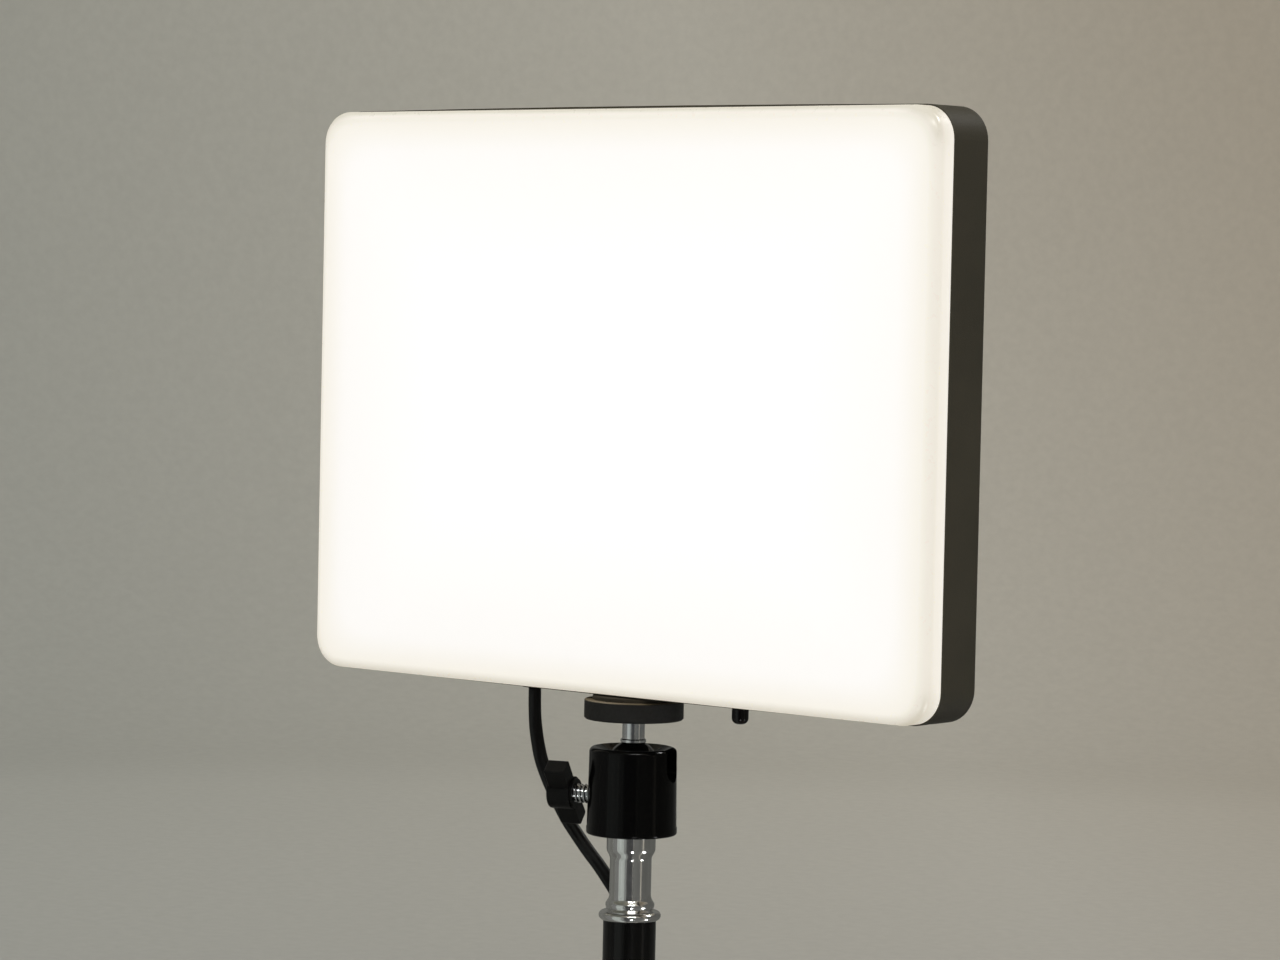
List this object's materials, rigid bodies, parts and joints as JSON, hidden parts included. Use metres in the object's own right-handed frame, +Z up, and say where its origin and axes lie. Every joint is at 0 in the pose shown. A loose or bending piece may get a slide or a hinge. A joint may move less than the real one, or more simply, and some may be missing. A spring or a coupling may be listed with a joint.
{
  "type": "led panel light",
  "caption": "Flat rectangular LED panel light with an opal front, on a slotted ball head with a side lock knob and a chrome spigot in a stand tube, with its lead.",
  "frame": {"origin": "middle of the slide bush's bottom face, on the stand tube's axis", "axes": "+Z up along the stand tube, -Y out of the lit face, +X to the right of the lit face seen from the front"},
  "size_m": [0.24, 0.0338, 0.4643],
  "materials": {
    "nylon": "moulded nylon, satin",
    "tube_paint": "gloss black paint on steel",
    "chrome": "bright chrome plate",
    "zinc": "bright zinc plate, turned",
    "lead": "black PVC, satin",
    "tie": "woven hook and loop tape",
    "plug_black": "overmoulded PVC",
    "nickel": "nickel plate",
    "tongue_white": "moulded insulator",
    "head_gloss": "glossy black",
    "acetal": "natural acetal",
    "brass": "turned brass",
    "knob_black": "moulded, satin",
    "ball_gloss": "glossy black",
    "disc_black": "moulded, matt, a little dusty",
    "pad_rubber": "black rubber",
    "shell_black": "fine texture, warm black",
    "board_white": "white solder mask",
    "emitter": "phosphor in a white frame",
    "board_green": "green solder mask",
    "chip_black": "moulded chip bodies",
    "receiver_dark": "dark infrared-pass resin",
    "opal": "opal white, lit from behind"
  },
  "bodies": {
    "stand": {"slide_bush": "nylon", "stand_tube": "tube_paint", "spigot": "chrome", "spigot_stud": "zinc", "cord_lower": "lead", "cord_winding": "lead", "cord_tail": "lead", "cord_tie": "tie", "usb_plug_cover": "plug_black", "usb_plug_shell": "nickel", "usb_tongue": "tongue_white"},
    "head": {"head_housing": "head_gloss", "base_ring": "head_gloss", "head_insert": "zinc", "ball_cup": "acetal"},
    "lock_pad": {"pressure_pad": "brass"},
    "lock": {"lock_screw": "zinc", "lock_knob": "knob_black"},
    "ball": {"ball": "ball_gloss", "ball_stem": "zinc", "platform_disc": "disc_black", "platform_pad": "pad_rubber", "cord_middle": "lead"},
    "panel": {"back_shell": "shell_black", "diffuser": "opal", "led_board": "board_white", "leds": "emitter", "board_screws": "zinc", "driver_board": "board_green", "driver_parts": "chip_black", "ir_receiver": "receiver_dark", "insert_nut": "brass", "cable_grommet": "pad_rubber", "cord_upper": "lead"}
  },
  "joints": [
    {"name": "head_pan", "type": "hinge", "parent": "stand", "child": "head", "pos_m": [0, 0, 0.246], "axis": [0, 0, 1], "range_deg": [-90, 90], "deforming": ["cord_lower"]},
    {"name": "ball_tilt", "type": "hinge", "parent": "head", "child": "ball", "pos_m": [0, 0, 0.2665], "axis": [-0.3256, 0.9455, 0], "range_deg": [-30, 90], "deforming": ["cord_middle"]},
    {"name": "panel_turn", "type": "hinge", "parent": "ball", "child": "panel", "pos_m": [0, 0, 0.2881], "axis": [0, 0, 1], "range_deg": [-90, 90], "deforming": ["cord_upper"]},
    {"name": "lock_slide", "type": "slide", "parent": "head", "child": "lock_pad", "axis": [-0.9455, -0.3256, 0], "range_m": [0, 0.0019]},
    {"name": "lock_turn", "type": "hinge", "parent": "lock_pad", "child": "lock", "pos_m": [0, 0, 0.2572], "axis": [-0.9455, -0.3256, 0], "range_deg": [0, 540]}
  ],
  "couplings": [
    {"joint": "lock_turn", "follows": "lock_slide", "rad_per_m": 4947.4}
  ]
}
